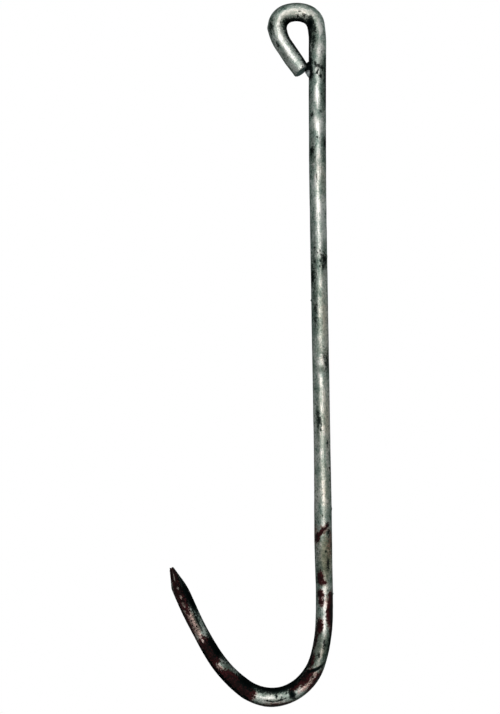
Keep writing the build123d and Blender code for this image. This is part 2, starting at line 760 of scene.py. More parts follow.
@dataclass
class EyeWeld:
    """The tack weld that closes the eye: a lumpy bead in the notch between the cut end and the shank."""

    name: str = "eye_weld_bead"
    rows: int = 96
    columns: int = 120
    half_thickness: float = 2.45
    half_across: float = 3.5
    half_height: float = 4.9
    squareness: float = 2.5
    foot_fall: float = 1.5
    foot_taper: float = 0.45
    foot_lean: float = 1.2
    lump: float = 0.32
    lump_scale: float = 0.45
    lump_offset: tuple[float, float, float] = (3.1, 8.2, 1.7)
    ripple: float = 0.12
    ripple_rate: float = 4.2
    ripple_wander: float = 1.3
    wander_scale: float = 0.6
    bare_drop: float = 0.6
    bare_drop_fade: float = 1.5
    bare_side: float = 0.3
    bare_side_fade: float = 1.0

    def build(self) -> bpy.types.Object:
        """Builds the bead round the middle of the model's weld.

        Returns:
            The bead's object.
        """
        low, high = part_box("eye_weld")
        centre = (low + high) / 2 / MM
        centre.x = low.x / MM + self.half_thickness
        points = [self._point(centre, 0.0, 0.0)]
        for row in range(1, self.rows):
            down = math.pi * row / self.rows
            for column in range(self.columns):
                points.append(self._point(centre, down, 2 * math.pi * column / self.columns))
        points.append(self._point(centre, math.pi, 0.0))
        mesh = bpy.data.meshes.new(self.name)
        mesh.from_pydata([[c * MM for c in p] for p in points], [], self._faces(len(points) - 1))
        mesh.update()
        self._write_attributes(mesh, np.array(points, np.float32), centre)
        for polygon in mesh.polygons:
            polygon.use_smooth = True
        return put_in_scene(self.name, mesh)

    def _faces(self, end: int) -> list[tuple[int, ...]]:
        """Joins the bead's rows.

        Args:
            end: the number of the last point.

        Returns:
            The faces.
        """
        n = self.columns
        last_row = 1 + (self.rows - 2) * n
        faces: list[tuple[int, ...]] = [(0, 1 + k, 1 + (k + 1) % n) for k in range(n)]
        for a in range(1, last_row, n):
            faces += [(a + k, a + n + k, a + n + (k + 1) % n, a + (k + 1) % n) for k in range(n)]
        return faces + [(last_row + k, end, last_row + (k + 1) % n) for k in range(n)]

    def _write_attributes(self, mesh: bpy.types.Mesh, spots: np.ndarray, centre: Vector) -> None:
        """Writes each point's place, and how bare of scale the bead's lower outer foot is.

        Args:
            mesh: the bead's mesh.
            spots: the points, in millimetres.
            centre: the bead's middle, in millimetres.
        """
        write_attribute(mesh, "bar_flow", spots)
        below = np.clip((centre.z - self.bare_drop - spots[:, 2]) / self.bare_drop_fade, 0, 1)
        outside = np.clip((centre.x + self.bare_side - spots[:, 0]) / self.bare_side_fade, 0, 1)
        write_attribute(mesh, "bare", below * outside)

    def _point(self, centre: Vector, down: float, turn: float) -> Vector:
        """One point of the bead.

        Args:
            centre: the bead's middle, in millimetres.
            down: the angle from the top, in radians.
            turn: the angle round the bead, in radians.

        Returns:
            The point, in millimetres.
        """
        facing = Vector((math.sin(down) * math.cos(turn), math.sin(down) * math.sin(turn), math.cos(down)))
        power = self.squareness
        total = sum(abs(c) ** power for c in facing) ** (1 / power)
        plain = facing / total
        low = max(0.0, -plain.z) ** self.foot_fall
        slim = self.half_thickness * (1 - self.foot_taper * low)
        x = plain.x * slim + self.foot_lean * low
        point = Vector((x, plain.y * self.half_across, plain.z * self.half_height))
        lumps = noise.noise(point * self.lump_scale + Vector(self.lump_offset)) * self.lump
        wander = self.ripple_wander * noise.noise(point * self.wander_scale)
        ripples = math.sin(point.z * self.ripple_rate + wander) * self.ripple
        return centre + point + facing * (lumps + ripples * (1 - abs(facing.z)))

    def dress(self, bead: bpy.types.Object, finish: bpy.types.Material) -> None:
        """Gives the bead its material and ties it to the model.

        Args:
            bead: the bead's object.
            finish: the weld metal's material.
        """
        bead.data.materials.append(finish)
        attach(bead, "root")
        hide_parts("eye_weld")


# ---------------------------------------------------------------- finishes

Socket = bpy.types.NodeSocket
Colour = tuple[float, float, float]
Span = tuple[float, float]
Ramp = tuple[float, float, float, float]


class Cloud(NamedTuple):
    """Cloudy noise: clouds to a millimetre, finer layers, and how strong those are."""

    scale: float | tuple[float, float, float]
    detail: float
    roughness: float


class Bench:
    """A node tree that a finish is laid out on."""

    def __init__(self, tree: bpy.types.NodeTree) -> None:
        """Starts with the tree's nodes cleared."""
        self.tree = tree
        tree.nodes.clear()

    def node(self, kind: str, **settings: object) -> bpy.types.Node:
        """Adds a node.

        Args:
            kind: the kind of node.
            settings: its properties.

        Returns:
            The node.
        """
        made = self.tree.nodes.new(kind)
        for key, value in settings.items():
            setattr(made, key, value)
        return made

    def feed(self, socket: Socket, value: object) -> None:
        """Gives a socket what it needs.

        Args:
            socket: the socket.
            value: a link, a number or a colour.
        """
        if isinstance(value, bpy.types.NodeSocket):
            self.tree.links.new(value, socket)
        elif isinstance(value, tuple) and len(value) == 3 and socket.type == "RGBA":
            socket.default_value = (*value, 1.0)
        else:
            socket.default_value = value

    def maths(self, operation: str, a: object, b: object) -> Socket:
        """Works on two values.

        Args:
            operation: ADD, SUBTRACT, MULTIPLY or MAXIMUM.
            a: the first value.
            b: the second value.

        Returns:
            The result.
        """
        made = self.node("ShaderNodeMath", operation=operation)
        self.feed(made.inputs[0], a)
        self.feed(made.inputs[1], b)
        return made.outputs[0]

    def add(self, a: object, b: object) -> Socket:
        """The sum of two values."""
        return self.maths("ADD", a, b)

    def times(self, a: object, b: object) -> Socket:
        """The product of two values."""
        return self.maths("MULTIPLY", a, b)

    def mix(self, share: object, a: object, b: object, blend: str = "MIX") -> Socket:
        """Mixes two colours.

        Args:
            share: how much of the second is laid on the first.
            a: the first colour.
            b: the second colour.
            blend: how the second is laid on, MIX or MULTIPLY.

        Returns:
            The mixed colour.
        """
        made = self.node("ShaderNodeMix", data_type="RGBA", blend_type=blend)
        self.feed(made.inputs[0], share)
        self.feed(made.inputs[6], a)
        self.feed(made.inputs[7], b)
        return made.outputs[2]

    def blend(self, share: object, a: object, b: object) -> Socket:
        """Mixes two values.

        Args:
            share: how much of the second there is.
            a: the first value.
            b: the second value.

        Returns:
            The mixed value.
        """
        made = self.node("ShaderNodeMix", data_type="FLOAT")
        self.feed(made.inputs[0], share)
        self.feed(made.inputs[2], a)
        self.feed(made.inputs[3], b)
        return made.outputs[0]

    def spread(
        self, value: object, low: object, high: object, to_low: float = 0.0, to_high: float = 1.0
    ) -> Socket:
        """Maps a value smoothly from one range to another.

        Args:
            value: the value.
            low: where the first range starts.
            high: where it ends.
            to_low: what its start becomes.
            to_high: what its end becomes.

        Returns:
            The mapped value.
        """
        made = self.node("ShaderNodeMapRange", interpolation_type="SMOOTHSTEP")
        for socket, item in zip(made.inputs, (value, low, high, to_low, to_high), strict=False):
            self.feed(socket, item)
        return made.outputs[0]

    def attribute(self, name: str, output: str = "Fac") -> Socket:
        """An attribute of the mesh."""
        return self.node("ShaderNodeAttribute", attribute_name=name).outputs[output]

    def cloud(
        self,
        place: object,
        scale: Socket | float | tuple[float, float, float],
        detail: float,
        roughness: float,
    ) -> Socket:
        """Lays cloudy noise.

        Args:
            place: where each point of the surface is.
            scale: how many clouds there are to a millimetre, for all axes or for each.
            detail: how many finer layers the noise has.
            roughness: how strong the finer layers are.

        Returns:
            The noise, from 0 to 1.
        """
        if isinstance(scale, tuple):
            stretched = self.node("ShaderNodeVectorMath", operation="MULTIPLY")
            self.feed(stretched.inputs[0], place)
            stretched.inputs[1].default_value = scale
            place, scale = stretched.outputs[0], 1.0
        made = self.node("ShaderNodeTexNoise")
        self.feed(made.inputs["Vector"], place)
        self.feed(made.inputs["Scale"], scale)
        made.inputs["Detail"].default_value = detail
        made.inputs["Roughness"].default_value = roughness
        return made.outputs[0]

    def bump(self, height: Socket, strength: float) -> Socket:
        """Turns a height into a bumpy surface's normal.

        Args:
            height: the height.
            strength: how much of the bump shows.

        Returns:
            The normal.
        """
        made = self.node("ShaderNodeBump")
        made.inputs["Strength"].default_value = strength
        made.inputs["Distance"].default_value = BUMP_HEIGHT * MM
        self.feed(made.inputs["Height"], height)
        return made.outputs[0]

    def use(self, group: bpy.types.NodeTree, **values: object) -> bpy.types.Node:
        """Places a node group.

        Args:
            group: the group.
            values: what its inputs are given, by name.

        Returns:
            The group's node.
        """
        made = self.node("ShaderNodeGroup", node_tree=group)
        for key, value in values.items():
            self.feed(made.inputs[key], value)
        return made


def group_bench(
    name: str, inputs: dict[str, object], outputs: dict[str, str]
) -> tuple[Bench, bpy.types.Node, bpy.types.Node]:
    """Starts a node group.

    Args:
        name: the group's name.
        inputs: each input's name and its usual value; "vector" for a place.
        outputs: each output's name and kind of socket.

    Returns:
        The group's bench, its inputs node and its outputs node.
    """
    tree = bpy.data.node_groups.new(name, "ShaderNodeTree")
    for key, value in inputs.items():
        if value == "vector":
            kind = "NodeSocketVector"
        elif isinstance(value, tuple):
            kind = "NodeSocketColor"
        else:
            kind = "NodeSocketFloat"
        made = tree.interface.new_socket(name=key, in_out="INPUT", socket_type=kind)
        if kind == "NodeSocketFloat":
            made.default_value = value
        elif kind == "NodeSocketColor":
            made.default_value = (*value, 1.0)
    for key, kind in outputs.items():
        tree.interface.new_socket(name=key, in_out="OUTPUT", socket_type=kind)
    bench = Bench(tree)
    return bench, bench.node("NodeGroupInput"), bench.node("NodeGroupOutput")


def make_ragged_edge() -> bpy.types.NodeTree:
    """The mask of a stain: its level, with an edge broken up by noise.

    Returns:
        The group, with inputs Level, Place, Ragged, Grain and Softness, and output Mask.
    """
    bench, given, out = group_bench(
        "ragged_edge",
        {"Level": 0.0, "Place": "vector", "Ragged": 1.0, "Grain": 0.6, "Softness": 0.25},
        {"Mask": "NodeSocketFloat"},
    )
    middle_of_noise, widest_swing = 0.5, 4.0
    rough = bench.cloud(given.outputs["Place"], given.outputs["Grain"], detail=6.0, roughness=0.62)
    swing = bench.times(bench.maths("SUBTRACT", rough, middle_of_noise), given.outputs["Ragged"])
    level = bench.add(given.outputs["Level"], bench.times(swing, widest_swing))
    low = bench.times(given.outputs["Softness"], -1.0)
    bench.feed(out.inputs["Mask"], bench.spread(level, low, given.outputs["Softness"]))
    return bench.tree


@dataclass(frozen=True)
class SteelTone:
    """The mottled tone of old drawn bar: blotches, flecks and draw lines, and how they are summed."""

    blotches: Cloud = Cloud((0.11, 0.24, 0.24), 5.0, 0.6)
    flecks: Cloud = Cloud((1.1, 1.4, 1.4), 4.0, 0.65)
    lines: Cloud = Cloud((0.05, 1.6, 1.6), 3.0, 0.5)
    blotch_share: float = 0.5
    fleck_share: float = 0.4
    line_share: float = 0.1
    contrast: Span = (0.36, 0.64)
    middle: float = 0.5
    line_height: float = 0.5

    def make(self) -> bpy.types.NodeTree:
        """Makes the group.

        Returns:
            The group, with inputs Place, Bright, Middle, Dull and Lean, and outputs Colour, Tone and Height.
        """
        bench, given, out = group_bench(
            "steel_tone",
            {
                "Place": "vector",
                "Bright": (0.6, 0.6, 0.57),
                "Middle": (0.4, 0.42, 0.4),
                "Dull": (0.2, 0.22, 0.2),
                "Lean": 0.0,
            },
            {"Colour": "NodeSocketColor", "Tone": "NodeSocketFloat", "Height": "NodeSocketFloat"},
        )
        place = given.outputs["Place"]
        blotch = bench.cloud(place, *self.blotches)
        fleck = bench.cloud(place, *self.flecks)
        line = bench.cloud(place, *self.lines)
        tone = bench.add(bench.times(blotch, self.blotch_share), bench.times(fleck, self.fleck_share))
        tone = bench.add(tone, bench.times(line, self.line_share))
        tone = bench.spread(bench.add(tone, given.outputs["Lean"]), *self.contrast)
        low = bench.spread(tone, 0.0, self.middle)
        high = bench.spread(tone, self.middle, 1.0)
        colour = bench.mix(low, given.outputs["Dull"], given.outputs["Middle"])
        colour = bench.mix(high, colour, given.outputs["Bright"])
        height = bench.add(fleck, bench.times(line, self.line_height))
        bench.feed(out.inputs["Colour"], colour)
        bench.feed(out.inputs["Tone"], tone)
        bench.feed(out.inputs["Height"], height)
        return bench.tree


@dataclass(frozen=True)
class Effects:
    """The node groups that the finishes share."""

    ragged_edge: bpy.types.NodeTree
    steel_tone: bpy.types.NodeTree


def new_finish(name: str) -> tuple[bpy.types.Material, Bench, bpy.types.Node]:
    """Starts a material.

    Args:
        name: the material's name.

    Returns:
        The material, its bench and its shader.
    """
    material = bpy.data.materials.new(name)
    material.use_nodes = True
    bench = Bench(material.node_tree)
    shader = bench.node("ShaderNodeBsdfPrincipled")
    output = bench.node("ShaderNodeOutputMaterial")
    bench.feed(output.inputs["Surface"], shader.outputs[0])
    return material, bench, shader


@dataclass(frozen=True)
class Edge:
    """A mark's edge: how ragged it is, its grain to a millimetre, and how far it fades."""

    ragged: float
    grain: float
    softness: float


EDGES = {
    Mark.PAINTED_HIGHLIGHT: Edge(1.5, 0.5, 2.5),
    Mark.DULL: Edge(1.8, 0.6, 2.6),
    Mark.TALLOW: Edge(1.8, 0.4, 2.0),
    Mark.SHADE: Edge(2.0, 0.5, 2.2),
    Mark.GRIME: Edge(1.9, 0.9, 0.75),
    Mark.FILM: Edge(1.6, 0.8, 0.8),
    Mark.BLOOD: Edge(1.3, 0.8, 0.35),
    Mark.PAINTED_GLINT: Edge(1.2, 1.1, 0.6),
}


@dataclass(frozen=True)
class WornSteel:
    """Old zinc-grey bar with flanks darkened partly by oxide and partly by painted edge shade, grime,
    tallow, dried blood, and painted highlights, glints and shade.
    """

    bright: Colour = (0.80, 0.768, 0.755)
    middle: Colour = (0.39, 0.442, 0.41)
    dull: Colour = (0.12, 0.182, 0.16)
    oxide_and_edge_shade: Colour = (0.027, 0.047, 0.04)
    tallow: Colour = (0.82, 0.69, 0.53)
    grime: Colour = (0.002, 0.005, 0.005)
    shade: Colour = (0.26, 0.30, 0.27)
    film: Colour = (0.58, 0.32, 0.29)
    wet_blood: Colour = (0.048, 0.009, 0.011)
    dry_blood: Colour = (0.010, 0.0045, 0.0045)
    edge: Colour = (0.10, 0.13, 0.13)
    ior: float = 1.28

    # How far the painted highlights lighten the steel's tone.
    highlight_lean: float = 0.10
    patchiness: Cloud = Cloud((0.16, 0.3, 0.3), 5.0, 0.6)
    patchiness_share: float = 1.3
    # How the flanks darken: partly oxide, partly painted edge shade.
    oxide_and_edge_shade_span: Span = (1.2, 1.72)
    oxide_and_edge_shade_left_by_highlight: float = 0.35
    oxide_and_edge_shade_strength: float = 0.6
    specks: Cloud = Cloud((0.9, 1.2, 1.2), 3.0, 0.7)
    speck_flank_start: float = 1.1
    speck_flank_share: float = 0.16
    speck_span: Span = (0.59, 0.66)
    speck_strength: float = 0.75
    clots: Cloud = Cloud(0.9, 5.0, 0.65)

    dull_to_bright_roughness: Span = (0.58, 0.40)
    oxide_roughness: float = 0.12
    dull_share: float = 0.6
    dull_roughness: float = 0.74
    blood_roughness: Ramp = (0.3, 0.7, 0.34, 0.55)
    grime_roughness: float = 0.6
    clean_to_oxide_metal: Span = (0.9, 0.6)
    grime_metal: float = 0.9
    grain: Cloud = Cloud((2.2, 3.2, 3.2), 3.0, 0.6)
    grain_height: float = 0.5
    blood_height: float = 0.7

    seep: Ramp = (-0.8, 0.3, 0.0, 0.8)
    tallow_depth: Ramp = (0.5, 3.2, 0.4, 0.85)
    shade_strength: float = 0.9
    film_strength: float = 0.8
    film_depth: Span = (0.8, 1.6)
    speckle_span: Span = (0.47, 0.57)
    blood_depth: Ramp = (0.6, 2.6, 0.0, 0.14)
    drying_span: Span = (0.40, 0.66)
    # How far blood turns near-black towards the flanks, partly crust and partly painted edge shade.
    crust_and_edge_shade_on_flank: Ramp = (0.4, 0.85, 0.0, 0.7)
    soot_depth: Ramp = (0.4, 2.2, 0.9, 1.0)

    def make(self, effects: Effects) -> bpy.types.Material:
        """Makes the material.

        Args:
            effects: the shared node groups.

        Returns:
            The material.
        """
        material, bench, shader = new_finish("worn_bar_steel")
        place = bench.attribute("bar_flow", "Vector")
        masks = self._masks(bench, effects, place)
        # The painted highlights lean the steel's tone towards its bright colour and a smoother finish.
        tone = bench.use(
            effects.steel_tone,
            Place=place,
            Bright=self.bright,
            Middle=self.middle,
            Dull=self.dull,
            Lean=bench.times(masks[Mark.PAINTED_HIGHLIGHT], self.highlight_lean),
        )
        patchy = bench.cloud(place, *self.patchiness)
        # Darker and rougher towards the flanks, the bar's edges as seen from the front: partly oxide, partly
        # painted edge shade, thinned under the painted highlights.
        flank = bench.add(bench.attribute("flank"), bench.times(patchy, self.patchiness_share))
        thinned = bench.spread(masks[Mark.PAINTED_HIGHLIGHT], 0.0, 1.0, 1.0, self.oxide_and_edge_shade_left_by_highlight)
        oxide_and_edge_shade = bench.times(bench.spread(flank, *self.oxide_and_edge_shade_span), thinned)
        clot = bench.cloud(place, *self.clots)

        # Dark specks, more of them towards the flanks, where they add to the painted edge shade.
        speck = bench.cloud(place, *self.specks)
        on_flank = bench.maths("SUBTRACT", flank, self.speck_flank_start)
        speck = bench.add(speck, bench.times(on_flank, self.speck_flank_share))
        speck = bench.times(bench.spread(speck, *self.speck_span), self.speck_strength)
        oxidised_and_edge_shaded = bench.times(oxide_and_edge_shade, self.oxide_and_edge_shade_strength)
        colour = bench.mix(oxidised_and_edge_shaded, tone.outputs["Colour"], self.oxide_and_edge_shade)
        colour = bench.mix(speck, colour, self.oxide_and_edge_shade)
        bench.feed(shader.inputs["Base Color"], self._stain(bench, colour, masks, clot))

        rough = bench.blend(tone.outputs["Tone"], *self.dull_to_bright_roughness)
        rough = bench.add(rough, bench.times(oxide_and_edge_shade, self.oxide_roughness))
        rough = bench.blend(bench.times(masks[Mark.DULL], self.dull_share), rough, self.dull_roughness)
        rough = bench.blend(masks[Mark.BLOOD], rough, bench.spread(clot, *self.blood_roughness))
        rough = bench.blend(masks[Mark.GRIME], rough, self.grime_roughness)
        bench.feed(shader.inputs["Roughness"], rough)

        metal = bench.blend(oxide_and_edge_shade, *self.clean_to_oxide_metal)
        metal = bench.blend(masks[Mark.BLOOD], metal, 0.0)
        metal = bench.blend(masks[Mark.GRIME], metal, self.grime_metal)
        bench.feed(shader.inputs["Metallic"], metal)

        grain = bench.cloud(place, *self.grain)
        height = bench.add(tone.outputs["Height"], bench.times(grain, self.grain_height))
        height = bench.add(height, bench.times(masks[Mark.BLOOD], self.blood_height))
        bench.feed(shader.inputs["Normal"], bench.bump(height, 1.0))
        shader.inputs["IOR"].default_value = self.ior
        shader.inputs["Specular Tint"].default_value = (*self.edge, 1.0)
        return material

    def _masks(self, bench: Bench, effects: Effects, place: Socket) -> dict[Mark, Socket]:
        """Makes the mask of each kind of mark from its level on the mesh.

        Args:
            bench: the material's bench.
            effects: the shared node groups.
            place: where each point of the surface is.

        Returns:
            The masks. Grime and blood are taken away at the painted glints, where lighter steel shows as a
            painted reflection, and blood has a film round it.
        """
        masks: dict[Mark, Socket] = {}
        for mark, edge in EDGES.items():
            made = bench.use(
                effects.ragged_edge,
                Level=bench.attribute(mark.value),
                Place=place,
                Ragged=edge.ragged,
                Grain=edge.grain,
                Softness=edge.softness,
            )
            masks[mark] = made.outputs["Mask"]
        # The painted glints clear grime and blood, so that lighter steel shows there as a painted
        # reflection.
        outside_painted_glints = bench.maths("SUBTRACT", 1.0, masks[Mark.PAINTED_GLINT])
        for mark in (Mark.GRIME, Mark.BLOOD):
            masks[mark] = bench.times(masks[mark], outside_painted_glints)
        seep = bench.spread(bench.attribute(Mark.BLOOD.value), *self.seep)
        masks[Mark.FILM] = bench.maths("MAXIMUM", masks[Mark.FILM], seep)
        return masks

    def _stain(
        self, bench: Bench, colour: Socket, masks: dict[Mark, Socket], clot: Socket
    ) -> Socket:
        """Lays tallow, shade, film, blood and grime over the bare steel's colour.

        Args:
            bench: the material's bench.
            colour: the bare steel's colour.
            masks: where each mark is.
            clot: the cloudy noise of dried blood.

        Returns:
            The stained colour.
        """
        tallow_strength = bench.spread(bench.attribute(Mark.TALLOW.value), *self.tallow_depth)
        for mark, strength, tint in (
            (Mark.TALLOW, tallow_strength, self.tallow),
            (Mark.SHADE, self.shade_strength, self.shade),
            (Mark.FILM, self.film_strength, self.film),
        ):
            colour = bench.mix(bench.times(masks[mark], strength), colour, tint, "MULTIPLY")
        thick_film = bench.spread(bench.attribute(Mark.FILM.value), *self.film_depth)
        speckle = bench.times(thick_film, bench.spread(clot, *self.speckle_span))
        colour = bench.mix(speckle, colour, self.dry_blood)
        thick_blood = bench.spread(bench.attribute(Mark.BLOOD.value), *self.blood_depth)
        dried = bench.spread(bench.add(clot, thick_blood), *self.drying_span)
        blood = bench.mix(dried, self.wet_blood, self.dry_blood)
        # Blood turns near-black towards the flanks: partly crust, partly painted edge shade.
        crusted = bench.spread(bench.attribute("flank"), *self.crust_and_edge_shade_on_flank)
        blood = bench.mix(crusted, blood, self.grime)
        colour = bench.mix(masks[Mark.BLOOD], colour, blood)
        soot = bench.spread(bench.attribute(Mark.GRIME.value), *self.soot_depth)
        return bench.mix(bench.times(masks[Mark.GRIME], soot), colour, self.grime)


@dataclass(frozen=True)
class ShearedSteel:
    """The cut end's face: dull, with the marks of the shear's blade."""

    bright: Colour = (0.13, 0.185, 0.185)
    middle: Colour = (0.075, 0.115, 0.115)
    dull: Colour = (0.035, 0.06, 0.06)
    dull_to_bright_roughness: Span = (0.6, 0.42)
    metal: float = 0.35
    tears: Cloud = Cloud((1.0, 0.25, 3.5), 4.0, 0.6)
    bump: float = 0.6

    def make(self, effects: Effects) -> bpy.types.Material:
        """Makes the material.

        Args:
            effects: the shared node groups.

        Returns:
            The material.
        """
        material, bench, shader = new_finish("sheared_steel")
        place = bench.attribute("bar_flow", "Vector")
        tone = bench.use(
            effects.steel_tone, Place=place, Bright=self.bright, Middle=self.middle, Dull=self.dull
        )
        bench.feed(shader.inputs["Base Color"], tone.outputs["Colour"])
        rough = bench.blend(tone.outputs["Tone"], *self.dull_to_bright_roughness)
        bench.feed(shader.inputs["Roughness"], rough)
        shader.inputs["Metallic"].default_value = self.metal
        tear = bench.cloud(place, *self.tears)
        height = bench.add(tear, tone.outputs["Height"])
        bench.feed(shader.inputs["Normal"], bench.bump(height, self.bump))
        return material


@dataclass(frozen=True)
class WeldMetal:
    """Weld metal under burnt scale."""

    bright: Colour = (0.10, 0.12, 0.12)
    middle: Colour = (0.03, 0.038, 0.038)
    dull: Colour = (0.008, 0.012, 0.012)
    scale: Colour = (0.003, 0.005, 0.005)
    bare: Colour = (0.72, 0.73, 0.76)
    edge: Colour = (0.10, 0.13, 0.13)
    ior: float = 1.28
    scale_level: float = 0.5
    scale_edge: Edge = Edge(1.6, 0.5, 0.5)
    bead_to_scale_roughness: Span = (0.42, 0.7)
    metal: float = 0.92
    bump: float = 0.7

    def make(self, effects: Effects) -> bpy.types.Material:
        """Makes the material.

        Args:
            effects: the shared node groups.

        Returns:
            The material.
        """
        material, bench, shader = new_finish("burnt_weld_metal")
        place = bench.attribute("bar_flow", "Vector")
        tone = bench.use(
            effects.steel_tone, Place=place, Bright=self.bright, Middle=self.middle, Dull=self.dull
        )
        crust = bench.use(
            effects.ragged_edge,
            Level=self.scale_level,
            Place=place,
            Ragged=self.scale_edge.ragged,
            Grain=self.scale_edge.grain,
            Softness=self.scale_edge.softness,
        )
        scale = crust.outputs["Mask"]
        burnt = bench.mix(scale, tone.outputs["Colour"], self.scale)
        bench.feed(shader.inputs["Base Color"], bench.mix(bench.attribute("bare"), burnt, self.bare))
        bench.feed(shader.inputs["Roughness"], bench.blend(scale, *self.bead_to_scale_roughness))
        shader.inputs["Metallic"].default_value = self.metal
        shader.inputs["IOR"].default_value = self.ior
        shader.inputs["Specular Tint"].default_value = (*self.edge, 1.0)
        height = bench.add(tone.outputs["Height"], scale)
        bench.feed(shader.inputs["Normal"], bench.bump(height, self.bump))
        return material


# ---------------------------------------------------------------- the marks on the bar


# Patches that lighten the steel are painted highlights with a smoother finish, those with the shade tint are
# painted shade, and those that clear grime and blood are painted glints.
GRIME, BLOOD, FILM, PAINTED_HIGHLIGHT = Mark.GRIME, Mark.BLOOD, Mark.FILM, Mark.PAINTED_HIGHLIGHT
DULL, TALLOW, SHADE, PAINTED_GLINT = Mark.DULL, Mark.TALLOW, Mark.SHADE, Mark.PAINTED_GLINT

EYE_MARKS = (
    Patch("crown_inner_grime", GRIME, -1, -1.0, 18, 3.1),
    Patch("crown_inner_light", PAINTED_HIGHLIGHT, -2, -0.3, 9, 2.4),
    Patch("crown_outer_shade", SHADE, -2, 0.82, 10, 1.6),
    Patch("crown_streak", GRIME, 0.5, -0.72, 0.8, 1.0),
    Patch("crown_streak_right", GRIME, 5, -0.55, 1.2, 1.2),
    Patch("back_bend_grime", GRIME, 14.5, -0.72, 6.5, 3.2, -8),
    Patch("back_bend_shade", SHADE, 14, -0.35, 6, 1.6, -10),
    Patch("shank_inner_grime", GRIME, 20, -1.0, 9, 4.4),
    Patch("shank_edge_grime", GRIME, 31, -1.0, 10, 2.9, 0, 1.5),
    Patch("shank_inner_shade", SHADE, 23, -0.45, 9, 2.3),
    Patch("shank_speckle_a", GRIME, 18.5, -0.32, 3.0, 1.0, 0, 0.9),
    Patch("shank_speckle_b", GRIME, 24.5, -0.5, 2.6, 1.2),
    Patch("shank_speckle_c", GRIME, 28.5, -0.62, 1.6, 0.7),
    # Darker in the notch where the cut end meets the shank.
    Patch("notch_dark", GRIME, 40, -1.0, 8, 4.5, 0, 1.4),
    Patch("notch_dark_foot", GRIME, 45, -0.9, 3.6, 2.8, 0, 1.5),
    Patch("side_inner_grime", GRIME, -12.5, -1.0, 10, 4.6),
    Patch("side_inner_shade", SHADE, -13, -0.5, 7, 2.0),
    Patch("leg_inner_grime", GRIME, -29, -1.0, 22, 5.0),
    Patch("leg_end_grime", GRIME, -43, -1.0, 8, 5.2),
    Patch("leg_outer_light", PAINTED_HIGHLIGHT, -33, 0.85, 12, 2.2),
    Patch("crown_dot", GRIME, 1.4, -0.21, 0.7, 0.6),
    Patch("outer_left_spot", GRIME, -16.9, 0.76, 2.0, 1.2, 0, 0.5),
    Patch("side_fleck", GRIME, -14.6, -0.27, 0.7, 0.4),
    Patch("leg_spot", GRIME, -26.6, 0.68, 1.5, 0.8),
    Patch("cut_end_fleck", GRIME, -45.6, -0.27, 0.5, 0.9),
    Patch("crown_tallow", TALLOW, 1, -0.5, 9, 2.0, 0, 0.4),
    Patch("crown_dull", DULL, 0, 0.3, 8, 1.8, 0, 0.5),
    Patch("crown_smudge", SHADE, 6.5, 0.72, 3.0, 1.3),
    Patch("crown_smudge_fleck", GRIME, 8.3, 0.86, 1.0, 0.5),
    Patch("side_smudge", SHADE, -15.6, 0.78, 3.6, 2.2),
    Patch("leg_smudge", SHADE, -33.5, 0.72, 3.0, 1.3),
    # Painted highlight along the side.
    Patch("side_highlight", PAINTED_HIGHLIGHT, -24, -0.12, 20, 2.0),
    Patch("leg_inner_light", PAINTED_HIGHLIGHT, -34, -0.42, 13, 1.4),
    # Painted highlight on the back bend.
    Patch("back_bend_highlight", PAINTED_HIGHLIGHT, 13, 0.38, 8, 2.6),
    Patch("shoulder_dull", DULL, 28, 0.1, 13, 5.5),
    Patch("shoulder_light", PAINTED_HIGHLIGHT, 31, 0.05, 7, 1.4),
)

SCORCH_MARKS = (
    Patch("scorch_shade", SHADE, 42, 0.62, 8, 3.0),
    Patch("scorch_left", GRIME, 39.4, -0.34, 1.6, 1.0, 10, 1.3),
    Patch("scorch_middle", GRIME, 40.6, -0.04, 1.1, 2.0, 6, 1.0),
    Patch("scorch_right", GRIME, 42.0, 0.45, 1.5, 1.3, -30, 1.3),
    Patch("scorch_right_shade", SHADE, 44.0, 0.5, 4.0, 1.8),
    Patch("scorch_low", GRIME, 44.4, -0.16, 1.7, 0.6, -35, 1.9),
    Patch("scorch_low_right", GRIME, 44.9, -0.08, 1.3, 0.45, 20, 1.9),
    Patch("scorch_foot", GRIME, 46.8, 0.3, 1.5, 1.0, 12, 1.4),
    Patch("scorch_light", PAINTED_HIGHLIGHT, 51, -0.1, 6, 1.3),
    Patch("outer_edge_dark", GRIME, 47, 0.9, 10, 1.3),
    Patch("left_edge_shade", SHADE, 58, -0.98, 9, 1.8),
)

UPPER_SHANK_MARKS = (
    Patch("upper_flank_shade", SHADE, 58, 0.72, 11, 2.4),
    Patch("upper_flank_dark", GRIME, 58, 0.9, 5, 1.0),
    Patch("upper_fleck", GRIME, 57, 0.35, 0.6, 0.4),
    Patch("band_dull", DULL, 68.5, 0.0, 5, 9),
    Patch("band_fleck_left", GRIME, 69.3, -0.72, 1.6, 1.2),
    Patch("band_fleck_right", GRIME, 67.7, 0.3, 0.8, 0.7),
    Patch("upper_bright", PAINTED_HIGHLIGHT, 75, 0.3, 6, 3.2),
    Patch("upper_light_right", PAINTED_HIGHLIGHT, 76, 0.85, 5, 1.6),
    Patch("smudge", GRIME, 82.9, -0.12, 0.9, 1.0),
    Patch("edge_dark_a", GRIME, 85.5, 0.88, 3.2, 1.5),
    Patch("edge_shade", SHADE, 86, 0.75, 7, 2.0),
    Patch("left_blot", GRIME, 90, -0.74, 2.6, 1.7),
    Patch("left_blot_shade", SHADE, 92, -0.66, 10, 2.0),
    Patch("left_fleck", GRIME, 94.8, -0.36, 0.6, 0.6),
    Patch("band_two", DULL, 97, 0.0, 4, 6),
    Patch("stripe_light", PAINTED_HIGHLIGHT, 93, 0.02, 8, 1.2),
    Patch("tan_streak", GRIME, 107, -0.19, 2.2, 0.35),
    Patch("tan_patch", TALLOW, 106, 0.55, 9, 2.5, 0, 0.6),
    Patch("middle_bright", PAINTED_HIGHLIGHT, 121, -0.12, 15, 1.6, 0, 0.85),
    Patch("middle_light_outer", PAINTED_HIGHLIGHT, 124, 0.6, 16, 2.6),
)

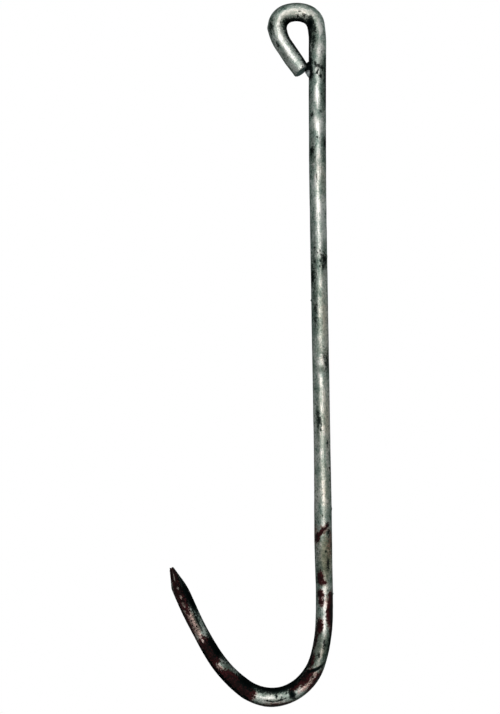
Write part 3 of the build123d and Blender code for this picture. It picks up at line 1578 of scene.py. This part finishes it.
MIDDLE_SHANK_MARKS = (
    Patch("fleck_a", GRIME, 148, -0.54, 0.9, 0.7),
    Patch("fleck_b", GRIME, 151, -0.23, 0.5, 0.5),
    Patch("right_blot", GRIME, 154.8, 0.62, 3.5, 2.3, 0, 0.65),
    Patch("right_blot_foot", GRIME, 159.3, 0.45, 1.8, 1.0),
    Patch("right_blot_speck_a", GRIME, 152.6, 0.2, 0.8, 0.5),
    Patch("right_blot_speck_b", GRIME, 156.2, 0.16, 1.0, 0.6),
    Patch("right_blot_speck_c", GRIME, 158.8, 0.02, 0.7, 0.4),
    Patch("right_blot_speck_d", GRIME, 149.6, 0.05, 0.6, 0.5),
    Patch("right_blot_shade", SHADE, 156, 0.5, 6, 1.8),
    Patch("left_shade_b", SHADE, 157, -0.62, 14, 1.5),
    Patch("left_blot_b", GRIME, 156, -0.62, 0.9, 1.0),
    Patch("left_edge_dark", GRIME, 165, -0.84, 6.0, 2.3, 0, 0.6),
    Patch("left_shade_c", SHADE, 180, -0.64, 10, 1.2),
    Patch("fleck_c", GRIME, 172.7, -0.56, 0.5, 0.35),
    Patch("fleck_d", GRIME, 177.6, -0.58, 0.5, 0.35),
    Patch("fleck_e", GRIME, 184, -0.55, 2.4, 0.9, 0, 0.5),
    Patch("fleck_f", GRIME, 190.8, -0.6, 2.2, 0.8, 0, 0.5),
    Patch("middle_tallow", TALLOW, 190, 0.45, 26, 4.0, 0, 0.5),
    Patch("middle_dull", DULL, 207, 0.0, 4, 6),
    Patch("middle_light_right", PAINTED_HIGHLIGHT, 190, 0.75, 22, 2.4),
    Patch("glint", PAINTED_HIGHLIGHT, 215.2, -0.05, 3.8, 2.6),
    Patch("glint_shadow", GRIME, 214.8, 0.66, 3.0, 1.3, 0, 0.3),
    Patch("glint_shade", SHADE, 215, 0.7, 5, 1.4),
    Patch("glint_gap", SHADE, 219.8, -0.1, 1.6, 2.6),
    Patch("glint_low", PAINTED_HIGHLIGHT, 225, -0.05, 3.6, 2.4),
    Patch("left_shade_d", SHADE, 250, -0.5, 14, 0.8),
    Patch("right_light_d", PAINTED_HIGHLIGHT, 250, 0.7, 22, 2.8),
    Patch("right_tallow_d", TALLOW, 250, 0.55, 24, 4.5, 0, 0.45),
    Patch("left_light_d", PAINTED_HIGHLIGHT, 262, -0.92, 30, 1.8),
    Patch("ragged_blot_top", GRIME, 246, -0.5, 1.8, 1.1),
    Patch("ragged_blot", GRIME, 250, -0.36, 3.0, 1.4, 15),
    Patch("ragged_blot_low", GRIME, 253, -0.45, 1.4, 0.8),
    Patch("ragged_blot_foot", GRIME, 255.7, -0.17, 0.9, 0.5, 30),
    Patch("right_line", GRIME, 263.4, 0.6, 2.2, 0.5, 0, 1.4),
)

LOWER_SHANK_MARKS = (
    Patch("round_blot", GRIME, 278.6, 0.83, 0.9, 0.9, 0, 1.8),
    Patch("lower_tallow_a", TALLOW, 290, 0.3, 18, 4.5, 0, 0.35),
    Patch("lower_stripe", PAINTED_HIGHLIGHT, 287, -0.02, 12, 0.7),
    Patch("edge_dark_c", GRIME, 285, 0.97, 5, 0.8),
    Patch("left_light_e", PAINTED_HIGHLIGHT, 292, -0.9, 16, 2.2),
    Patch("scratch", GRIME, 293.8, -0.09, 0.3, 1.2, 40),
    Patch("lower_fleck", GRIME, 306.1, -0.13, 0.8, 0.35),
    Patch("lower_bright_b", PAINTED_HIGHLIGHT, 302, -0.1, 5, 0.7),
    Patch("slash_top", BLOOD, 313.2, 0.22, 3.0, 1.0, -38, 0.55),
    Patch("slash_middle", FILM, 314.3, 0.12, 3.4, 1.7, -35, 1.5),
    Patch("slash_side", FILM, 313.6, -0.25, 1.8, 0.9, 20, 1.4),
    Patch("slash_blood", BLOOD, 316.2, -0.36, 3.8, 1.2, -34, 1.6),
    Patch("slash_foot", BLOOD, 319.2, -0.72, 3.4, 1.6, -10, 1.3),
    Patch("slash_edge", FILM, 318, -0.9, 6, 2.0, 0, 0.7),
    Patch("slash_blot", GRIME, 316.2, 0.56, 2.2, 1.3, 0, 1.1),
    Patch("slash_blot_top", GRIME, 311.6, 0.5, 1.5, 0.9),
    Patch("edge_film", FILM, 322.5, 0.78, 7, 2.4, 0, 0.6),
    Patch("lower_dull", DULL, 330, 0.1, 12, 6),
    Patch("lower_shade", SHADE, 333, 0.25, 11, 2.0),
    Patch("lower_shade_left", SHADE, 334, -0.6, 10, 1.8),
    Patch("lower_fleck_b", GRIME, 327.6, 0.2, 0.9, 0.7),
    Patch("lower_fleck_c", GRIME, 335, 0.45, 3.5, 1.0),
    Patch("lower_tallow", TALLOW, 331, 0.25, 18, 5.0),
    Patch("blot_one", BLOOD, 343.2, -0.48, 4.2, 2.2),
    Patch("blot_one_foot", BLOOD, 345.8, -0.2, 1.5, 2.0),
    Patch("gap_bright", PAINTED_HIGHLIGHT, 349.2, 0.0, 2.5, 2.4),
    Patch("blot_two", BLOOD, 353.0, -0.54, 3.2, 2.3),
    Patch("blot_two_low", BLOOD, 357.4, -0.48, 2.8, 1.8),
    Patch("run_top", BLOOD, 355, 0.72, 4.2, 1.6),
    Patch("run_middle", BLOOD, 364, 0.78, 9.5, 3.8),
    Patch("run_low", BLOOD, 373, 0.9, 5, 2.4),
    Patch("run_film", FILM, 357, 0.3, 3.5, 1.4),
    Patch("stripe_bright", PAINTED_HIGHLIGHT, 361, -0.08, 12, 1.9, 0, 1.6),
    Patch("blot_three", BLOOD, 371.6, -0.56, 4.8, 2.2),
    Patch("blot_three_foot", BLOOD, 380, -0.85, 7, 1.5),
    Patch("heel_outer_dark", GRIME, 380, 0.88, 7, 1.8, 0, 0.7),
    Patch("heel_outer_shade", SHADE, 386, 0.72, 13, 2.8),
    Patch("heel_inner_shade", SHADE, 385, -0.55, 15, 3.0, 0, 2.5),
)

HOOK_MARKS = (
    Patch("heel_dull", DULL, 388, 0.0, 10, 6),
    Patch("heel_tallow", TALLOW, 387, 0.2, 9, 3.0, 0, 0.6),
    Patch("heel_light", PAINTED_HIGHLIGHT, 384, 0.22, 9, 0.9, 0, 1.6),
    Patch("heel_mottle", GRIME, 382, 0.25, 2.5, 1.0, 15),
    Patch("heel_mottle_low", GRIME, 389, -0.1, 1.6, 1.0),
    Patch("heel_inner_blood", BLOOD, 394, -0.72, 5, 1.6),
    Patch("heel_inner_grime", GRIME, 398, -1.0, 20, 3.2),
    Patch("slash_dark", GRIME, 397.8, 0.0, 1.05, 6.8, 46, 2.6),
    Patch("heel_blood_inner", BLOOD, 405, -0.5, 7.5, 2.7),
    Patch("heel_blood_outer", BLOOD, 404.5, 0.78, 7.5, 2.7),
    Patch("heel_film", FILM, 405, 0.15, 8, 2.4),
    Patch("heel_light_low", PAINTED_HIGHLIGHT, 409, 0.2, 6, 0.9),
    Patch("belly_blot", GRIME, 418.3, -0.02, 2.1, 3.4, 0, 1.7),
    Patch("belly_blood_right", BLOOD, 415, -0.6, 4, 2.0),
    Patch("belly_inner_grime", GRIME, 430, -1.0, 30, 4.2),
    Patch("belly_light", PAINTED_HIGHLIGHT, 430, -0.15, 8, 1.2, 0, 0.9),
    Patch("belly_middle_shade", SHADE, 428, 0.17, 9, 1.2, 0, 1.4),
    Patch("belly_light_low", PAINTED_HIGHLIGHT, 429, 0.44, 9.5, 1.4, 0, 1.2),
    Patch("belly_inner_shade", SHADE, 430, -0.55, 14, 1.8),
    Patch("belly_fleck_e", GRIME, 425.5, 0.23, 4.2, 0.6, 8, 1.5),
    Patch("belly_fleck_f", GRIME, 432, 0.25, 3.4, 0.55, -6, 1.3),
    Patch("belly_fleck_a", GRIME, 427.9, -0.3, 0.9, 1.3, 0, 1.6),
    Patch("belly_fleck_b", GRIME, 424.9, -0.08, 0.5, 0.6),
    Patch("belly_fleck_c", GRIME, 433.4, 0.2, 1.1, 0.7, 0, 1.6),
    Patch("belly_fleck_d", GRIME, 421.2, -0.43, 0.6, 0.8),
    Patch("belly_red_line", BLOOD, 428, 0.84, 9.5, 1.8, 0, 1.4),
    Patch("belly_film", FILM, 428.5, 0.68, 6, 1.4),
    Patch("belly_outer_shade", SHADE, 428, 0.85, 15, 2.8, 0, 1.2),
    Patch("belly_outer_dark", GRIME, 440, 1.0, 14, 2.2),
    Patch("throat_blood", BLOOD, 453.5, 0.2, 12.6, 5.4),
    Patch("throat_blood_inner", BLOOD, 446, -0.3, 5.6, 2.0, 0, 1.5),
    Patch("throat_blood_outer", BLOOD, 446, 0.78, 5.2, 2.4, 0, 1.4),
    Patch("throat_inner_dark", GRIME, 449, -0.9, 9, 4.2),
    Patch("throat_outer_dark", GRIME, 462, 1.0, 29, 5.3),
    Patch("leg_inner_edge", GRIME, 478, -1.0, 30, 2.6),
    Patch("throat_grey_shade", SHADE, 463, -0.5, 8, 2.8),
    Patch("throat_streak_film", FILM, 466, 0.26, 4.8, 2.2, 0, 1.5),
    Patch("throat_streak", PAINTED_HIGHLIGHT, 465.5, 0.24, 3.8, 1.2),
    Patch("throat_outer_blood", BLOOD, 464, 0.72, 10, 2.4),
    Patch("leg_blood", BLOOD, 479.5, 0.1, 9.5, 5.6),
    Patch("leg_inner_dark", GRIME, 479, -0.75, 10, 3.6),
    Patch("leg_outer_dark", GRIME, 500, 1.0, 24, 3.0),
    Patch("leg_film", FILM, 499, 0.2, 11, 3.4, 0, 1.2),
    Patch("leg_light", PAINTED_HIGHLIGHT, 496, 0.08, 8, 0.8),
    Patch("leg_blood_outer", BLOOD, 502, 0.9, 18, 3.2),
    Patch("leg_dark_line", GRIME, 499, -0.47, 9, 0.6, -2, 1.5),
    Patch("leg_teal", DULL, 491, -0.75, 6.5, 1.7, 0, 1.3),
    # Painted glints on the blood of the leg and the nose.
    Patch("leg_glint", PAINTED_GLINT, 486.5, 0.12, 1.2, 0.7, 0, 1.3),
    Patch("leg_glint_low", PAINTED_GLINT, 489.5, 0.2, 1.2, 0.9),
    Patch("nose_inner_dark", GRIME, 514, -0.82, 15, 3.8),
    Patch("nose_blood", BLOOD, 519, 0.18, 15, 3.7),
    Patch("nose_film", FILM, 512, 0.0, 9, 2.4),
    Patch("nose_glint_a", PAINTED_GLINT, 510.5, 0.22, 1.6, 0.8),
    Patch("nose_glint_b", PAINTED_GLINT, 515.0, 0.15, 1.3, 0.6, 0, 1.2),
    Patch("nose_glint_c", PAINTED_GLINT, 520.5, 0.12, 0.9, 0.7, 0, 1.5),
    Patch("point_glint", PAINTED_GLINT, 527.5, 0.1, 2.4, 0.6, -12, 1.2),
    Patch("point_blood", BLOOD, 530, 0.1, 9, 5.5),
)

FRONT_MARKS = (
    EYE_MARKS
    + SCORCH_MARKS
    + UPPER_SHANK_MARKS
    + MIDDLE_SHANK_MARKS
    + LOWER_SHANK_MARKS
    + HOOK_MARKS
)


@dataclass(frozen=True)
class BackWear:
    """How far the back's marks stray from the front's, which they are copies of.

    drift is in millimetres along the bar, and less at its bends: outside the straight part of the bar
    it is multiplied by bend_share. sizes are the least and the most that a mark is resized by.
    """

    seed: int = 20
    drift: float = 7.0
    sizes: Span = (0.75, 1.2)
    sway: float = 0.25
    straight: Span = (45, 500)
    bend_share: float = 0.3

    def marks(self, front: tuple[Patch, ...]) -> tuple[Patch, ...]:
        """Marks for the back of the bar: those of the front, moved and resized a little.

        Args:
            front: the front's marks.

        Returns:
            The back's marks.
        """
        stray = np.random.default_rng(self.seed)
        made = []
        for patch in front:
            shift, grow = stray.uniform(-self.drift, self.drift), stray.uniform(*self.sizes)
            sway = stray.uniform(-self.sway, self.sway)
            straight = self.straight[0] <= patch.place <= self.straight[1]
            made.append(
                replace(
                    patch,
                    name=patch.name + "_behind",
                    place=patch.place + shift * (1.0 if straight else self.bend_share),
                    across=max(-1.0, min(1.0, patch.across + sway * (1 - abs(patch.across)))),
                    length=patch.length * grow,
                    width=patch.width * grow,
                    slant=-patch.slant,
                    side=Side.BACK,
                )
            )
        return tuple(made)


# ---------------------------------------------------------------- the studio


@dataclass(frozen=True)
class Softbox:
    """A soft rectangular lamp that faces the hook."""

    name: str
    place: tuple[float, float, float]
    width: float
    height: float
    power: float
    colour: Colour
    roll: float = 0.0


@dataclass
class Studio:
    """A plain pale floor, soft light and the camera."""

    view_distance: float = 0.57
    view_height: float = 0.425
    sensor: float = 36.0
    clip: Span = (0.01, 100.0)
    view_offset: tuple[float, float] = (-0.0006, -0.0017)
    floor_drop: float = 1.1
    floor_size: float = 30.0
    floor_colour: Colour = (0.45, 0.47, 0.46)
    ambient: Colour = (0.22, 0.27, 0.255)
    lamps: tuple[Softbox, ...] = (
        Softbox("front_softbox", (0.0, -1.25, 0.2), 0.5, 2.8, 17.0, (1.0, 0.985, 0.95), 12.0),
        Softbox("back_left_softbox", (-0.9, 1.1, 0.9), 0.7, 1.2, 8.0, (0.96, 0.98, 1.0)),
        Softbox("back_right_softbox", (0.9, 1.1, 0.9), 0.7, 1.2, 8.0, (0.96, 0.98, 1.0)),
    )

    def build(self, low: Vector, high: Vector) -> None:
        """Builds the floor, the lamps, the surroundings and the camera.

        Args:
            low: the model's lowest corner.
            high: the model's highest corner.
        """
        middle = (low + high) / 2
        self._floor(low.z - self.floor_drop)
        for lamp in self.lamps:
            self._lamp(lamp, middle)
        self._surroundings()
        self._camera(middle)

    def _white_for_camera(self, bench: Bench, other: Socket, output: Socket) -> None:
        """Shows pure white to the camera and another shader to everything else.

        Args:
            bench: the bench of the floor or the surroundings.
            other: the other shader.
            output: the surface's socket on the output node.
        """
        white = bench.node("ShaderNodeEmission")
        white.inputs["Color"].default_value = (1.0, 1.0, 1.0, 1.0)
        path = bench.node("ShaderNodeLightPath")
        choose = bench.node("ShaderNodeMixShader")
        bench.feed(choose.inputs[0], path.outputs["Is Camera Ray"])
        bench.feed(choose.inputs[1], other)
        bench.feed(choose.inputs[2], white.outputs[0])
        bench.feed(output, choose.outputs[0])

    def _floor(self, height: float) -> None:
        """Lays the floor.

        Args:
            height: the floor's height, in metres.
        """
        half = self.floor_size / 2
        mesh = bpy.data.meshes.new("studio_floor")
        corners = [(x * half, y * half, height) for x, y in ((-1, -1), (1, -1), (1, 1), (-1, 1))]
        mesh.from_pydata(corners, [], [(0, 1, 2, 3)])
        floor = put_in_scene("studio_floor", mesh)
        material = bpy.data.materials.new("pale_floor")
        material.use_nodes = True
        bench = Bench(material.node_tree)
        pale = bench.node("ShaderNodeBsdfDiffuse")
        bench.feed(pale.inputs["Color"], self.floor_colour)
        output = bench.node("ShaderNodeOutputMaterial")
        self._white_for_camera(bench, pale.outputs[0], output.inputs["Surface"])
        mesh.materials.append(material)
        floor.visible_shadow = False

    def _lamp(self, lamp: Softbox, middle: Vector) -> None:
        """Hangs one lamp so that it faces the model's middle.

        Args:
            lamp: the lamp.
            middle: the model's middle.
        """
        data = bpy.data.lights.new(lamp.name, "AREA")
        data.shape = "RECTANGLE"
        data.size, data.size_y = lamp.width, lamp.height
        data.energy = lamp.power
        data.color = lamp.colour
        holder = put_in_scene(lamp.name, data)
        holder.location = middle + Vector(lamp.place)
        holder.rotation_mode = "QUATERNION"
        facing = Vector(lamp.place).to_track_quat("Z", "Y")
        holder.rotation_quaternion = facing @ Quaternion((0.0, 0.0, 1.0), math.radians(lamp.roll))
        holder.visible_camera = False

    def _surroundings(self) -> None:
        """Sets what surrounds the hook: white to the camera, dim grey to its reflections."""
        world = bpy.data.worlds.new("studio")
        world.use_nodes = True
        bench = Bench(world.node_tree)
        dim = bench.node("ShaderNodeBackground")
        dim.inputs["Color"].default_value = (*self.ambient, 1.0)
        output = bench.node("ShaderNodeOutputWorld")
        self._white_for_camera(bench, dim.outputs[0], output.inputs["Surface"])
        bpy.context.scene.world = world
        bpy.context.scene.view_settings.view_transform = "Standard"

    def _camera(self, middle: Vector) -> None:
        """Sets the camera level with the model's middle, looking along +Y.

        Args:
            middle: the model's middle.
        """
        data = bpy.data.cameras.new("front_camera")
        data.sensor_width = self.sensor
        data.lens = self.sensor * self.view_distance / self.view_height
        data.clip_start, data.clip_end = self.clip
        camera = put_in_scene("front_camera", data)
        camera.location = middle + Vector((self.view_offset[0], -self.view_distance, self.view_offset[1]))
        camera.rotation_euler = (math.radians(90), 0.0, 0.0)
        bpy.context.scene.camera = camera


# ---------------------------------------------------------------- the whole hook


def main() -> None:
    """Builds the hook and its studio."""
    logging.basicConfig(level=logging.INFO, format="%(name)s: %(message)s")
    LOG.info("model nodes: %s", ", ".join(frame["nodes"]))
    effects = Effects(make_ragged_edge(), SteelTone().make())
    route = BarRoute()
    hook_bar = HookBar(route, patches=FRONT_MARKS + BackWear().marks(FRONT_MARKS))
    bar = hook_bar.build()
    hook_bar.dress(bar, [WornSteel().make(effects), ShearedSteel().make(effects)])
    LOG.info("%s: %d faces", bar.name, len(bar.data.polygons))

    eye_weld = EyeWeld()
    bead = eye_weld.build()
    eye_weld.dress(bead, WeldMetal().make(effects))
    LOG.info("%s: %d faces", bead.name, len(bead.data.polygons))

    Studio().build(cad_low, cad_high)


if __name__ == "__main__":
    main()
